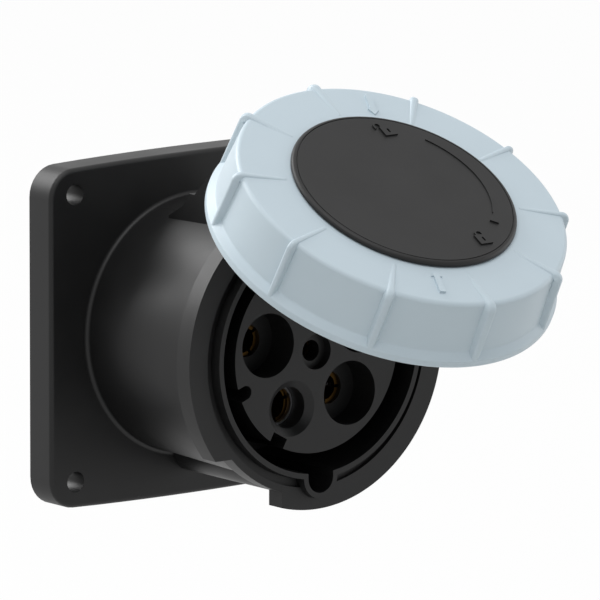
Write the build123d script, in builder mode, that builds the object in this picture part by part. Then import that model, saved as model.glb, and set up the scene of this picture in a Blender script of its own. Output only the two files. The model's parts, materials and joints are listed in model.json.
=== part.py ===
from build123d import *
import os
from math import atan, cos, degrees, radians, sin

# Industrial panel socket: five contacts and a pilot, with a hinged lid and its bayonet ring.
# Origin: centre of the flange's mounting face. The socket's mouth faces -Y and +Z is up.
# A distance called front or back is measured forward from the mounting face, along -Y.

# Flange
flange_width = 110.0
flange_height = 107.0
flange_crown = 1.0
flange_thickness = 11.0
flange_corner = 9.5
flange_edge_round = 1.4
flange_rim = 3.2
flange_front_wall = 3.5
screw_spacing = 91.0
screw_hole_radius = 3.3
screw_boss_wall = 3.2
seal_groove_radius = 43.6
seal_groove_width = 4.0
seal_thickness = 2.0
seal_side_gap = 0.15
seal_land = 2.0

# Barrel, collar and sealing lip
barrel_root_radius = 40.7
barrel_middle_radius = 41.8
barrel_front_radius = 44.9
barrel_root_fillet = 1.0
flare_back = 38.0
flare_front = 47.0
flare_round = 14.0
collar_front = 74.8
collar_radius = 49.7
collar_edge_round = 0.6
lug_depth = 6.5
notch_side = 13.6
notch_level = 30.2
lip_height = 2.2
lip_tip_wall = 1.4
lip_root_wall = 2.8
shroud_radius = 38.0
ledge_front = 36.0
ledge_back = 29.0
rear_bore_radius = 37.5

# Main keyway at six o'clock and the half-round bump that holds it
keyway_half_width = 4.85
keyway_bottom = 44.2
bump_wall = 2.7

# Hinge bracket on top of the barrel
hinge_front = 53.7
hinge_height = 55.4
pin_radius = 2.0
pin_fixed_gap = 0.02
pin_running_gap = 0.06
pin_head_radius = 3.0
pin_head_thickness = 1.2
ear_inside = 12.0
ear_thickness = 6.0
ear_radius = 5.2
ear_foot_back = 34.0
ear_foot_front = 60.0
pad_height = 46.0
pad_back = 30.4
pad_front = 62.0
pad_step = 3.0
pad_sink = 6.0
pad_ramp_back = 23.0
pad_ramp_sink = 3.0
ear_sink = 2.0
knuckle_radius = 4.2
knuckle_side_gap = 0.3

# Contact carrier
carrier_radius = 31.85
carrier_ledge_gap = 0.35
carrier_flange_thickness = 4.0
carrier_flange_gap = 0.5
carrier_rim_chamfer = 0.4
contact_circle_radius = 19.4
earth_clock = 210.0
after_earth = ("contact_line_1", "contact_line_2", "contact_line_3", "contact_neutral")
line_recess_radius = 10.1
line_recess_depth = 11.0
line_entry_radius = 5.15
line_entry_web = 1.5
earth_funnel_radius = 8.85
earth_funnel_depth = 2.0
pilot_recess_radius = 5.6
pilot_recess_depth = 3.0
pilot_entry_radius = 3.3
pilot_entry_web = 5.3
pocket_gap = 0.2
round_notch_turn = 40.5
round_notch_width = 4.4
round_notch_bottom = 27.2
square_notch_turn = -0.4
square_notch_width = 5.8
square_notch_bottom = 28.6

# Contacts: sleeves in front, terminals behind
line_pin_radius = 4.0
earth_pin_radius = 5.0
pilot_pin_radius = 3.0
sleeve_fit = 0.05
sleeve_wall = 1.25
sleeve_front_gap = 0.2
earth_front_depth = 3.0
sleeve_depth = 34.0
slot_width = 1.0
slot_length = 18.0
spring_back = 6.8
spring_width = 1.7
spring_groove = 0.5
spring_proud = 0.1
spring_gap = 2.0
collar_step = 7.6
pilot_collar_step = 5.5
contact_collar_thickness = 3.0
terminal_radius = 6.75
terminal_tail = 22.0
wire_bore_radius = 4.25
wire_bore_depth = 24.0
pilot_terminal_radius = 4.5
pilot_tail = 36.0
pilot_wire_radius = 2.2
pilot_wire_depth = 16.0

# Terminal block behind the carrier
block_flange_thickness = 3.0
block_radius = 29.0
block_tail = 24.0
block_gap = 0.15
wire_entry_radius = 5.5
block_edge_round = 1.5
access_radius = 3.2
terminal_screw_radius = 2.5
terminal_screw_gap = 0.1
terminal_screw_back = 10.0
terminal_screw_pitch = 8.0
terminal_screw_length = 5.0
pilot_screw_back = 30.0
pilot_screw_radius = 1.5
pilot_screw_length = 3.6
driver_slot_width = 0.9
driver_slot_depth = 1.0

# Screws that hold the block and the carrier to the housing
carrier_screw_clocks = (30.0, 150.0, 270.0)
carrier_screw_circle = 34.2
carrier_screw_radius = 1.5
carrier_screw_gap = 0.08
carrier_screw_bite = 5.4
screw_end_gap = 0.5
carrier_screw_head_radius = 2.7
carrier_screw_head = 2.4

# Lid: cap outside, plate inside, and the ring trapped between them
lid_open_angle = 59.6
lid_seal_gap = 0.3
lid_seal_thickness = 3.0
lid_seal_proud = 1.0
lid_seal_inside = 2.0
lid_seal_outside = 3.6
lid_seal_overlap = 1.1
lid_plate_wall = 1.6
lid_plate_thickness = 3.4
cap_overlap = 3.6
cap_edge_round = 1.3
cap_rim_thickness = 2.6
neck_gap = 0.4
ring_slip = 0.26
strap_gap = 0.4
strap_thickness = 1.5
strap_half_width = 9.0
strap_half_angle = 10.2
strap_length = 21.5
strap_root_overlap = 1.1
web_height = 2.0
web_inset = 0.1
lid_screw_circle = 22.0
lid_screw_radius = 1.3
lid_screw_gap = 0.06
lid_screw_bite = 3.6
lid_screw_head_radius = 2.8
lid_screw_head_gap = 0.3
lid_screw_head = 1.5

# Bayonet ring
ring_collar_gap = 2.3
ring_top_wall = 2.5
ring_wall = 2.3
ring_draft = 0.7
ring_lip_overhang = 2.6
ring_neck_hole = 33.0
ring_depth = 20.84
ring_lip_height = 2.4
ring_ledge_height = 2.4
ring_top_round = 1.8
ring_foot_round = 0.5
rib_count = 10
rib_clock = 2.3
rib_width = 4.2
rib_cap_gap = 1.9
rib_start_width = 2.6
rib_rise = 2.4
rib_corner_round = 2.4
rib_side_round = 0.7
rib_sink = 1.0
ring_lug_clocks = (32.65, 212.65)
ring_lug_angle = 25.0
ring_lug_clearance = 1.8
ring_lug_gap = 0.3
ring_lug_inset = 0.3
ring_lug_sink = 0.3

# Cutting shapes run past the material by this much
cut_margin = 1.0


def front_plane(distance):
    """Plane at a distance in front of the mounting face, seen from the front: X right, Z up."""
    return Plane(origin=(0, -distance, 0), x_dir=(1, 0, 0), z_dir=(0, -1, 0))


def section_plane(x=0.0, z=0.0):
    """Plane through an axis along Y: first coordinate up from the axis, second forward."""
    return Plane(origin=(x, 0, z), x_dir=(0, 0, 1), z_dir=(1, 0, 0))


def clock(angle, radius):
    """Place on a dial seen from the front, with the angle clockwise from the top."""
    return radius * sin(radians(angle)), radius * cos(radians(angle))


def discs(distance, places, radius):
    """Round faces on a plane in front of the mounting face."""
    with BuildSketch(front_plane(distance)) as sketch:
        with Locations(*places):
            Circle(radius)
    return sketch.sketch


def mouth_outline(plane, radius, key_half_width):
    """Round outline with a key of a given half-width at six o'clock."""
    with BuildSketch(plane) as sketch:
        Circle(radius)
        with Locations((0, -bump_centre)):
            Circle(key_half_width)
        with Locations((0, -bump_centre / 2)):
            Rectangle(2 * key_half_width, bump_centre)
    return sketch.sketch


def radial_plane(angle, distance, radius=0.0):
    """Plane whose normal points out from the socket's axis at a clock angle."""
    x, z = clock(angle, radius)
    return Plane(origin=(x, -distance, z), x_dir=(0, -1, 0),
                 z_dir=(sin(radians(angle)), 0, cos(radians(angle))))


def save(part, name):
    """Label a finished piece and write its file."""
    part.label = name
    export_step(part, f"parts/{name}.step")


os.makedirs("parts", exist_ok=True)

# Sizes that follow from the ones above
lug_back = collar_front - lug_depth
bump_radius = keyway_half_width + bump_wall
bump_centre = keyway_bottom - keyway_half_width
carrier_back = ledge_back - carrier_flange_thickness
carrier_flange_radius = rear_bore_radius - carrier_flange_gap
block_back = carrier_back - block_flange_thickness
contact_collar_front = carrier_back + contact_collar_thickness
line_front = collar_front - line_recess_depth - line_entry_web - sleeve_front_gap
earth_front = collar_front - earth_front_depth
pilot_front = collar_front - pilot_recess_depth - pilot_entry_web - sleeve_front_gap
line_sleeve_radius = line_pin_radius + sleeve_fit + sleeve_wall
earth_sleeve_radius = earth_pin_radius + sleeve_fit + sleeve_wall
pilot_sleeve_radius = pilot_pin_radius + sleeve_fit + sleeve_wall
contact_turn = 360 / (len(after_earth) + 1)
line_clocks = {name: earth_clock + contact_turn * step for step, name in enumerate(after_earth, 1)}
line_places = [clock(angle, contact_circle_radius) for angle in line_clocks.values()]
earth_place = clock(earth_clock, contact_circle_radius)
contact_places = line_places + [earth_place]
carrier_screw_places = [clock(angle, carrier_screw_circle) for angle in carrier_screw_clocks]
terminal_screw_backs = (terminal_screw_back, terminal_screw_back + terminal_screw_pitch)

# The lid's round sizes follow from the collar, the sealing lip and the ring's neck
lid_seal_inner = shroud_radius - lid_seal_inside
lid_seal_outer = shroud_radius + lip_root_wall + lid_seal_outside
lid_plate_radius = lid_seal_outer + lid_plate_wall
ring_inner_radius = collar_radius + ring_collar_gap
ring_wall_radius = ring_inner_radius + ring_wall
ring_top_radius = ring_wall_radius - ring_draft
ring_lip_radius = ring_wall_radius + ring_lip_overhang
ring_lug_radius = barrel_front_radius + ring_lug_clearance
strap_outer = ring_inner_radius - strap_gap
strap_radius = strap_outer - strap_thickness
cap_radius = ring_neck_hole + cap_overlap
rib_start = cap_radius + rib_cap_gap

# Lid levels, measured outward from the cap's top face along the lid's axis
cap_under = -cap_rim_thickness
ring_top = cap_under - ring_slip
ring_top_under = ring_top - ring_top_wall
plate_top = ring_top_under - ring_slip
plate_under = plate_top - lid_plate_thickness
seal_face = plate_under - lid_seal_proud
seal_seat = seal_face + lid_seal_thickness
ring_foot = ring_top - ring_depth
neck_radius = ring_neck_hole - neck_gap
seal_key_half_width = keyway_half_width + lip_root_wall + lid_seal_overlap
lid_closed_front = collar_front + lip_height + lid_seal_gap - seal_face
lug_front_level = lug_back - lid_closed_front - ring_lug_gap
hinge_level = hinge_front - lid_closed_front

# The lid stands open: its closed place is turned about the hinge pin
open_cos = cos(radians(lid_open_angle))
open_sin = sin(radians(lid_open_angle))
lid_reach = lid_closed_front - hinge_front
lid_axis_out = Vector(0, -open_cos, open_sin)
lid_axis_up = Vector(0, open_sin, open_cos)
lid_origin = Vector(0, -hinge_front - lid_reach * open_cos - hinge_height * open_sin,
                    hinge_height + lid_reach * open_sin - hinge_height * open_cos)
lid_axis = Axis(lid_origin, lid_axis_out)


def lid_level(level):
    """Plane across the lid's axis, seen from outside the cap with the hinge at the top."""
    return Plane(origin=lid_origin + lid_axis_out * level, x_dir=(1, 0, 0), z_dir=lid_axis_out)


def lid_section(angle=0.0):
    """Plane through the lid's axis: first coordinate outward at a clock angle, second along it."""
    outward = lid_axis_up * cos(radians(angle)) + Vector(1, 0, 0) * sin(radians(angle))
    return Plane(origin=lid_origin, x_dir=outward, z_dir=outward.cross(lid_axis_out))


# Two bayonet lugs: a collar with rounded edges and a notch on each side
with BuildPart() as bayonet_lugs:
    with BuildSketch(section_plane()) as collar_outline:
        with BuildLine():
            Polyline((barrel_middle_radius, lug_back), (collar_radius, lug_back),
                     (collar_radius, collar_front), (barrel_middle_radius, collar_front),
                     close=True)
        make_face()
        fillet(collar_outline.vertices().sort_by(Axis.Z)[-2:], collar_edge_round)
    revolve(axis=Axis((0, 0, 0), (0, -1, 0)))
    with BuildSketch(front_plane(lug_back)):
        for side in (1, -1):
            with Locations((side * (notch_side + collar_radius / 2),
                            side * (notch_level + collar_radius / 2))):
                Rectangle(collar_radius, collar_radius)
    extrude(amount=lug_depth, mode=Mode.SUBTRACT)

# Housing: flange, barrel, the lugs' collar, sealing lip and hinge bracket
with BuildPart() as housing:
    with BuildSketch(front_plane(0)) as flange_outline:
        with BuildLine():
            half_w, half_h = flange_width / 2, flange_height / 2
            Line((-half_w, -half_h), (-half_w, half_h))
            ThreePointArc((-half_w, half_h), (0, half_h + flange_crown), (half_w, half_h))
            Line((half_w, half_h), (half_w, -half_h))
            ThreePointArc((half_w, -half_h), (0, -half_h - flange_crown), (-half_w, -half_h))
        make_face()
        fillet(flange_outline.vertices(), flange_corner)
    extrude(amount=flange_thickness)
    fillet(housing.faces().sort_by(Axis.Y)[0].edges(), flange_edge_round)
    # Corner pockets behind the plate, round the screw bosses and the seal's land
    with BuildSketch(front_plane(0)):
        RectangleRounded(flange_width - 2 * flange_rim, flange_height - 2 * flange_rim,
                         flange_corner - flange_rim)
        Circle(seal_groove_radius + seal_groove_width + seal_land, mode=Mode.SUBTRACT)
        with GridLocations(screw_spacing, screw_spacing, 2, 2):
            Circle(screw_hole_radius + screw_boss_wall, mode=Mode.SUBTRACT)
    extrude(amount=flange_thickness - flange_front_wall, mode=Mode.SUBTRACT)
    # Barrel that flares out to the collar
    with BuildSketch(section_plane()) as barrel_outline:
        with BuildLine():
            Polyline((0, flange_thickness / 2), (barrel_root_radius, flange_thickness / 2),
                     (barrel_root_radius, flange_thickness), (barrel_middle_radius, flare_back),
                     (barrel_front_radius, flare_front), (barrel_front_radius, collar_front),
                     (0, collar_front), close=True)
        make_face()
        flare_corners = barrel_outline.vertices().filter_by_position(
            Axis.Y, -flare_front - 0.1, -flare_back + 0.1)
        fillet(flare_corners, flare_round)
    revolve(axis=Axis((0, 0, 0), (0, -1, 0)))
    # Half-round bump along the bottom of the barrel
    extrude(mouth_outline(front_plane(flange_thickness / 2), bump_radius, bump_radius),
            amount=collar_front - flange_thickness / 2)
    root_edges = housing.edges().filter_by_position(
        Axis.Y, -flange_thickness - 0.01, -flange_thickness + 0.01)
    inside_flange = flange_height / 2 - 2 * flange_edge_round
    fillet(root_edges.filter_by(lambda edge: edge.center().length < inside_flange),
           barrel_root_fillet)
    add(bayonet_lugs.part)
    # Tapered sealing lip that follows the mouth and the keyway
    extrude(mouth_outline(front_plane(collar_front), shroud_radius + lip_root_wall,
                          keyway_half_width + lip_root_wall),
            amount=lip_height, taper=degrees(atan((lip_root_wall - lip_tip_wall) / lip_height)))
    # Hinge bracket: a ramped pad and two ears
    with BuildSketch(section_plane(x=-ear_inside - ear_thickness)):
        pad_root = barrel_root_radius - pad_sink
        Polygon((pad_root, pad_ramp_back), (barrel_root_radius - pad_ramp_sink, pad_ramp_back),
                (barrel_middle_radius, pad_back), (pad_height, pad_back + pad_step),
                (pad_height, pad_front), (pad_root, pad_front), align=None)
    extrude(amount=2 * (ear_inside + ear_thickness))
    for side_x in (-ear_inside - ear_thickness, ear_inside):
        with BuildSketch(section_plane(x=side_x)):
            with BuildLine():
                Line((pad_height - ear_sink, ear_foot_back), (pad_height - ear_sink, ear_foot_front))
                CenterArc((hinge_height, hinge_front), ear_radius, 0, 360)
            make_hull()
        extrude(amount=ear_thickness)
    with BuildSketch(Plane.YZ.offset(-ear_inside - ear_thickness)):
        with Locations((-hinge_front, hinge_height)):
            Circle(pin_radius + pin_fixed_gap)
    extrude(amount=2 * (ear_inside + ear_thickness), mode=Mode.SUBTRACT)
    # Mouth with its keyway, ledge for the carrier and bore behind it
    extrude(mouth_outline(front_plane(ledge_front), shroud_radius, keyway_half_width),
            amount=collar_front + lip_height - ledge_front, mode=Mode.SUBTRACT)
    extrude(discs(0, [(0, 0)], carrier_radius + carrier_ledge_gap),
            amount=ledge_front, mode=Mode.SUBTRACT)
    extrude(discs(0, [(0, 0)], rear_bore_radius), amount=ledge_back, mode=Mode.SUBTRACT)
    extrude(discs(ledge_back, carrier_screw_places, carrier_screw_radius + carrier_screw_gap),
            amount=carrier_screw_bite + screw_end_gap, mode=Mode.SUBTRACT)
    # Fixing holes and the seal's groove
    with BuildSketch(front_plane(0)):
        with GridLocations(screw_spacing, screw_spacing, 2, 2):
            Circle(screw_hole_radius)
    extrude(amount=flange_thickness, mode=Mode.SUBTRACT)
    with BuildSketch(front_plane(0)):
        Circle(seal_groove_radius + seal_groove_width)
        Circle(seal_groove_radius, mode=Mode.SUBTRACT)
    extrude(amount=seal_thickness, mode=Mode.SUBTRACT)
save(housing.part, "housing")

# Rubber seal in the back of the flange
with BuildPart() as flange_seal:
    with BuildSketch(front_plane(0)):
        Circle(seal_groove_radius + seal_groove_width - seal_side_gap)
        Circle(seal_groove_radius + seal_side_gap, mode=Mode.SUBTRACT)
    extrude(amount=seal_thickness)
save(flange_seal.part, "flange_seal")

# Contact carrier: the black insert with its contact holes
with BuildPart() as contact_carrier:
    extrude(discs(carrier_back, [(0, 0)], carrier_flange_radius), amount=carrier_flange_thickness)
    extrude(discs(carrier_back, [(0, 0)], carrier_radius), amount=collar_front - carrier_back)
    chamfer(contact_carrier.edges().sort_by(Axis.Y)[0], carrier_rim_chamfer)
    extrude(discs(carrier_back, carrier_screw_places, carrier_screw_radius + carrier_screw_gap),
            amount=carrier_flange_thickness, mode=Mode.SUBTRACT)
    # Line contacts: a deep recess, a thin web and the sleeve's pocket
    extrude(discs(collar_front - line_recess_depth, line_places, line_recess_radius),
            amount=line_recess_depth, mode=Mode.SUBTRACT)
    extrude(discs(carrier_back, line_places, line_entry_radius),
            amount=collar_front - carrier_back, mode=Mode.SUBTRACT)
    extrude(discs(carrier_back, line_places, line_sleeve_radius + pocket_gap),
            amount=line_front + sleeve_front_gap - carrier_back, mode=Mode.SUBTRACT)
    # Earth contact: a short funnel and a straight pocket
    extrude(discs(carrier_back, [earth_place], earth_sleeve_radius + pocket_gap),
            amount=collar_front - carrier_back, mode=Mode.SUBTRACT)
    earth_mouth = contact_carrier.edges().filter_by(GeomType.CIRCLE).filter_by_position(
        Axis.Y, -collar_front - 0.01, -collar_front + 0.01).filter_by(
        lambda edge: abs(edge.radius - earth_sleeve_radius - pocket_gap) < 0.01)
    chamfer(earth_mouth, earth_funnel_depth,
            earth_funnel_radius - earth_sleeve_radius - pocket_gap)
    # Pilot contact in the middle
    extrude(discs(collar_front - pilot_recess_depth, [(0, 0)], pilot_recess_radius),
            amount=pilot_recess_depth, mode=Mode.SUBTRACT)
    extrude(discs(carrier_back, [(0, 0)], pilot_entry_radius),
            amount=collar_front - carrier_back, mode=Mode.SUBTRACT)
    extrude(discs(carrier_back, [(0, 0)], pilot_sleeve_radius + pocket_gap),
            amount=pilot_front + sleeve_front_gap - carrier_back, mode=Mode.SUBTRACT)
    # Seats for the contacts' collars
    extrude(discs(carrier_back, contact_places, collar_step + pocket_gap),
            amount=contact_collar_thickness, mode=Mode.SUBTRACT)
    extrude(discs(carrier_back, [(0, 0)], pilot_collar_step + pocket_gap),
            amount=contact_collar_thickness, mode=Mode.SUBTRACT)
    # Two key notches in the rim, one round and one square
    notch_end = carrier_radius + cut_margin
    with BuildSketch(front_plane(ledge_back)):
        with Locations(Location((0, 0), 90 - earth_clock - round_notch_turn)):
            round_notch_centre = round_notch_bottom + round_notch_width / 2
            with Locations((round_notch_centre, 0)):
                Circle(round_notch_width / 2)
                Rectangle(notch_end - round_notch_centre, round_notch_width,
                          align=(Align.MIN, Align.CENTER))
        with Locations(Location((0, 0), 90 - earth_clock - square_notch_turn)):
            with Locations((square_notch_bottom, 0)):
                Rectangle(notch_end - square_notch_bottom, square_notch_width,
                          align=(Align.MIN, Align.CENTER))
    extrude(amount=collar_front - ledge_back, mode=Mode.SUBTRACT)
save(contact_carrier.part, "contact_carrier")

# Contacts: a slotted sleeve, a collar and a terminal with a wire bore, each turned in one piece
contacts = {name: (angle, line_front, line_pin_radius) for name, angle in line_clocks.items()}
contacts["contact_earth"] = (earth_clock, earth_front, earth_pin_radius)
for name, (angle, tip, pin) in contacts.items():
    place_x, place_z = clock(angle, contact_circle_radius)
    bore = pin + sleeve_fit
    sleeve = bore + sleeve_wall
    with BuildPart() as contact:
        with BuildSketch(section_plane(place_x, place_z)):
            with BuildLine():
                Polyline((bore, tip), (sleeve, tip), (sleeve, tip - spring_back + spring_width),
                         (sleeve - spring_groove, tip - spring_back + spring_width),
                         (sleeve - spring_groove, tip - spring_back), (sleeve, tip - spring_back),
                         (sleeve, contact_collar_front), (collar_step, contact_collar_front),
                         (collar_step, carrier_back), (terminal_radius, carrier_back),
                         (terminal_radius, -terminal_tail), (wire_bore_radius, -terminal_tail),
                         (wire_bore_radius, wire_bore_depth - terminal_tail),
                         (0, wire_bore_depth - terminal_tail), (0, tip - sleeve_depth),
                         (bore, tip - sleeve_depth), close=True)
            make_face()
        revolve(axis=Axis((place_x, 0, place_z), (0, -1, 0)))
        with BuildSketch(front_plane(tip - slot_length)):
            with Locations(Location((place_x, place_z), 45 - angle)):
                Rectangle(2 * sleeve + cut_margin, slot_width)
                Rectangle(slot_width, 2 * sleeve + cut_margin)
        extrude(amount=slot_length, mode=Mode.SUBTRACT)
        for back in terminal_screw_backs:
            with BuildSketch(radial_plane(angle, -back, contact_circle_radius)):
                Circle(terminal_screw_radius + terminal_screw_gap)
            extrude(amount=terminal_radius + cut_margin, mode=Mode.SUBTRACT)
    save(contact.part, name)

# Pilot contact, longer than the rest so that its screw can be reached behind the block
with BuildPart() as contact_pilot:
    with BuildSketch(section_plane()):
        with BuildLine():
            pilot_bore = pilot_pin_radius + sleeve_fit
            Polyline((pilot_bore, pilot_front), (pilot_sleeve_radius, pilot_front),
                     (pilot_sleeve_radius, contact_collar_front),
                     (pilot_collar_step, contact_collar_front), (pilot_collar_step, carrier_back),
                     (pilot_terminal_radius, carrier_back), (pilot_terminal_radius, -pilot_tail),
                     (pilot_wire_radius, -pilot_tail),
                     (pilot_wire_radius, pilot_wire_depth - pilot_tail),
                     (0, pilot_wire_depth - pilot_tail), (0, pilot_front - sleeve_depth),
                     (pilot_bore, pilot_front - sleeve_depth), close=True)
        make_face()
    revolve(axis=Axis((0, 0, 0), (0, -1, 0)))
    with BuildSketch(front_plane(pilot_front - slot_length)):
        Rectangle(2 * pilot_sleeve_radius + cut_margin, slot_width)
    extrude(amount=slot_length, mode=Mode.SUBTRACT)
    with BuildSketch(radial_plane(0, -pilot_screw_back)):
        Circle(pilot_screw_radius + terminal_screw_gap)
    extrude(amount=pilot_terminal_radius + cut_margin, mode=Mode.SUBTRACT)
save(contact_pilot.part, "contact_pilot")

# Open steel rings that squeeze the slotted sleeves
with BuildPart() as sleeve_springs:
    for name, (angle, tip, pin) in contacts.items():
        sleeve = pin + sleeve_fit + sleeve_wall
        with BuildSketch(front_plane(tip - spring_back)):
            with Locations(Location(clock(angle, contact_circle_radius), -angle)):
                Circle(sleeve + spring_proud)
                Circle(sleeve - spring_groove, mode=Mode.SUBTRACT)
                with Locations((0, sleeve)):
                    Rectangle(spring_gap, 2 * sleeve, mode=Mode.SUBTRACT)
        extrude(amount=spring_width)
save(sleeve_springs.part, "sleeve_springs")

# Terminal block: holds the contacts from behind and gives the wires their entries
with BuildPart() as terminal_block:
    extrude(discs(block_back, [(0, 0)], carrier_flange_radius), amount=block_flange_thickness)
    extrude(discs(-block_tail, [(0, 0)], block_radius), amount=block_tail + carrier_back)
    fillet(terminal_block.edges().filter_by_position(
        Axis.Y, block_tail - 0.01, block_tail + 0.01), block_edge_round)
    extrude(discs(block_back, carrier_screw_places, carrier_screw_radius + carrier_screw_gap),
            amount=block_flange_thickness, mode=Mode.SUBTRACT)
    extrude(discs(-terminal_tail, contact_places, terminal_radius + block_gap),
            amount=terminal_tail + carrier_back, mode=Mode.SUBTRACT)
    extrude(discs(-block_tail, contact_places, wire_entry_radius),
            amount=block_tail, mode=Mode.SUBTRACT)
    extrude(discs(-block_tail, [(0, 0)], pilot_terminal_radius + block_gap),
            amount=block_tail + carrier_back, mode=Mode.SUBTRACT)
    for angle in [*line_clocks.values(), earth_clock]:
        for back in terminal_screw_backs:
            with BuildSketch(radial_plane(angle, -back, contact_circle_radius)):
                Circle(access_radius)
            extrude(amount=block_radius, mode=Mode.SUBTRACT)
save(terminal_block.part, "terminal_block")

# Slotted set screws, two in each terminal, backed out so that the wire bores are clear
with BuildPart() as terminal_screws:
    for angle in [*line_clocks.values(), earth_clock]:
        for back in terminal_screw_backs:
            foot = contact_circle_radius + wire_bore_radius + terminal_screw_gap
            with BuildSketch(radial_plane(angle, -back, foot)):
                Circle(terminal_screw_radius)
            extrude(amount=terminal_screw_length)
            with BuildSketch(radial_plane(angle, -back, foot + terminal_screw_length)):
                Rectangle(2 * terminal_screw_radius + cut_margin, driver_slot_width)
            extrude(amount=-driver_slot_depth, mode=Mode.SUBTRACT)
save(terminal_screws.part, "terminal_screws")

# Set screw of the pilot contact
with BuildPart() as pilot_screw:
    pilot_foot = pilot_wire_radius + terminal_screw_gap
    with BuildSketch(radial_plane(0, -pilot_screw_back, pilot_foot)):
        Circle(pilot_screw_radius)
    extrude(amount=pilot_screw_length)
    with BuildSketch(radial_plane(0, -pilot_screw_back, pilot_foot + pilot_screw_length)):
        Rectangle(2 * pilot_screw_radius + cut_margin, driver_slot_width)
    extrude(amount=-driver_slot_depth, mode=Mode.SUBTRACT)
save(pilot_screw.part, "pilot_screw")

# Screws through the block and the carrier into the ledge
with BuildPart() as carrier_screws:
    extrude(discs(block_back, carrier_screw_places, carrier_screw_radius),
            amount=ledge_back + carrier_screw_bite - block_back)
    extrude(discs(block_back - carrier_screw_head, carrier_screw_places, carrier_screw_head_radius),
            amount=carrier_screw_head)
    with BuildSketch(front_plane(block_back - carrier_screw_head)):
        with Locations(*carrier_screw_places):
            Rectangle(2 * carrier_screw_head_radius + cut_margin, driver_slot_width)
    extrude(amount=driver_slot_depth, mode=Mode.SUBTRACT)
save(carrier_screws.part, "carrier_screws")

# Hinge pin with a rivet head at one end
with BuildPart() as hinge_pin:
    with BuildSketch(Plane.YZ.offset(-ear_inside - ear_thickness)):
        with Locations((-hinge_front, hinge_height)):
            Circle(pin_radius)
    extrude(amount=2 * (ear_inside + ear_thickness))
    with BuildSketch(Plane.YZ.offset(-ear_inside - ear_thickness - pin_head_thickness)):
        with Locations((-hinge_front, hinge_height)):
            Circle(pin_head_radius)
    extrude(amount=pin_head_thickness)
    fillet(hinge_pin.edges().sort_by(Axis.X)[0], pin_head_thickness / 2)
save(hinge_pin.part, "hinge_pin")

# Lid cap: the black disc outside, with the neck that the ring turns on
lid_screw_places = [clock(angle, lid_screw_circle) for angle in (60, 180, 300)]
with BuildPart() as lid_cap:
    with BuildSketch(lid_section()) as cap_outline:
        with BuildLine():
            Polyline((0, 0), (cap_radius, 0), (cap_radius, cap_under), (neck_radius, cap_under),
                     (neck_radius, plate_top), (0, plate_top), close=True)
        make_face()
    revolve(axis=lid_axis)
    cap_top_edge = lid_cap.edges().filter_by(GeomType.CIRCLE).filter_by(
        lambda edge: abs((edge.arc_center - lid_origin).length) < 0.01)
    fillet(cap_top_edge, cap_edge_round)
    with BuildSketch(lid_level(plate_top)):
        with Locations(*lid_screw_places):
            Circle(lid_screw_radius + lid_screw_gap)
    extrude(amount=lid_screw_bite + screw_end_gap, mode=Mode.SUBTRACT)
save(lid_cap.part, "lid_cap")

# Lid plate: carries the seal, and its strap runs inside the ring back to the hinge
with BuildPart() as lid_plate:
    extrude(mouth_outline(lid_level(plate_under), lid_plate_radius,
                          seal_key_half_width + lid_plate_wall), amount=lid_plate_thickness)
    extrude(mouth_outline(lid_level(plate_under), lid_seal_outer, seal_key_half_width),
            amount=seal_seat - plate_under, mode=Mode.SUBTRACT)
    with BuildSketch(lid_level(plate_under)):
        Circle(lid_seal_inner)
    extrude(amount=seal_seat - plate_under)
    with BuildSketch(lid_level(plate_under)):
        with Locations(*lid_screw_places):
            Circle(lid_screw_radius + lid_screw_gap)
    extrude(amount=lid_plate_thickness, mode=Mode.SUBTRACT)
    with BuildSketch(lid_level(plate_under)):
        with Locations(*lid_screw_places):
            Circle(lid_screw_head_radius + lid_screw_head_gap)
    extrude(amount=lid_screw_head, mode=Mode.SUBTRACT)
    # Curved strap down the inside of the ring
    strap_root = lid_plate_radius - strap_root_overlap
    strap_foot = plate_top - strap_length
    with BuildSketch(lid_section(strap_half_angle)):
        Polygon((strap_root, plate_top), (strap_outer, plate_top),
                (strap_outer, strap_foot), (strap_radius, strap_foot),
                (strap_radius, plate_under), (strap_root, plate_under), align=None)
    revolve(axis=lid_axis, revolution_arc=2 * strap_half_angle)
    # Web below the ring's foot, out to the hinge knuckle
    with BuildSketch(lid_section().offset(-strap_half_width)):
        with BuildLine():
            web_root = strap_radius + web_inset
            web_top = strap_foot + web_height / 2
            web_foot = strap_foot - web_height / 2
            Polyline((web_root, web_top), (strap_outer, web_top), (strap_outer, web_foot),
                     (web_root, web_foot), close=True)
            CenterArc((hinge_height, hinge_level), knuckle_radius, 0, 360)
        make_hull()
    extrude(amount=2 * strap_half_width)
    knuckle_half = ear_inside - knuckle_side_gap
    with BuildSketch(lid_section().offset(-knuckle_half)):
        with Locations((hinge_height, hinge_level)):
            Circle(knuckle_radius)
    extrude(amount=2 * knuckle_half)
    with BuildSketch(lid_section().offset(-knuckle_half)):
        with Locations((hinge_height, hinge_level)):
            Circle(pin_radius + pin_running_gap)
    extrude(amount=2 * knuckle_half, mode=Mode.SUBTRACT)
save(lid_plate.part, "lid_plate")

# Flat rubber seal that closes on the sealing lip
with BuildPart() as lid_seal:
    extrude(mouth_outline(lid_level(seal_face), lid_seal_outer - seal_side_gap,
                          seal_key_half_width - seal_side_gap), amount=lid_seal_thickness)
    with BuildSketch(lid_level(seal_face)):
        Circle(lid_seal_inner + seal_side_gap)
    extrude(amount=lid_seal_thickness, mode=Mode.SUBTRACT)
save(lid_seal.part, "lid_seal")

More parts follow.
